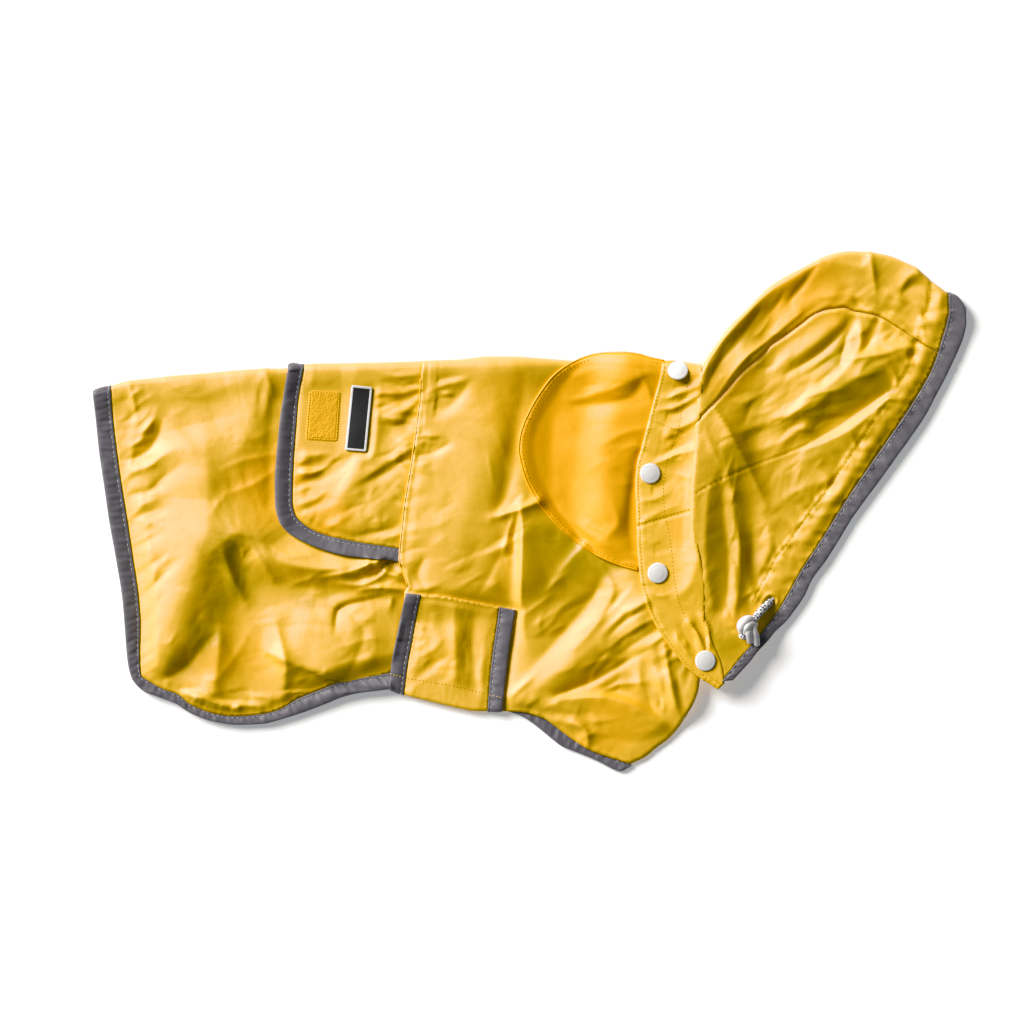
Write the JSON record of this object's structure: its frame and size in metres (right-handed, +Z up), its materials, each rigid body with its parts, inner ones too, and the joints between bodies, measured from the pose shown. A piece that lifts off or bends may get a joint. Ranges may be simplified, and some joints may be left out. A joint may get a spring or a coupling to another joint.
{
  "type": "dog raincoat",
  "caption": "Hooded dog raincoat in yellow coated cloth with grey bound edges, laid flat on its side and folded along the spine, with snaps, belly strap and hood drawcord.",
  "frame": {"origin": "middle of the laid-out coat's bounding box, on the surface that it lies on", "axes": "+X runs from the tail end to the hood, +Y towards the spine fold, +Z up through the coat's left side"},
  "size_m": [0.5462, 0.3242, 0.0196],
  "materials": {
    "coated_cloth": "satin coated nylon",
    "collar_cloth": "satin coated nylon",
    "grey_tape": "satin woven tape",
    "loop_fabric": "matte brushed loops",
    "black_rubber": "matte",
    "white_snap": "gloss",
    "white_cord": "braided polyester"
  },
  "bodies": {
    "root": {"body_rear": "coated_cloth", "body_front": "coated_cloth", "binding_tail": "grey_tape", "back_flap": "coated_cloth", "back_flap_binding": "grey_tape", "loop_patch": "loop_fabric", "label_patch": "black_rubber", "collar_flap": "collar_cloth", "collar_band": "coated_cloth", "snap_1": "white_snap", "snap_2": "white_snap", "snap_3": "white_snap", "snap_4": "white_snap", "snap_right_2": "white_snap", "snap_right_3": "white_snap", "snap_right_4": "white_snap", "hood_centre": "coated_cloth", "hood_side_left": "coated_cloth", "hood_side_right": "coated_cloth", "hood_binding": "grey_tape", "drawcord": "white_cord", "drawcord_knot": "white_cord", "belly_strap": "coated_cloth", "strap_binding_rear": "grey_tape", "strap_binding_front": "grey_tape", "chest_binding_left": "grey_tape", "chest_binding_right": "grey_tape"}
  },
  "joints": []
}
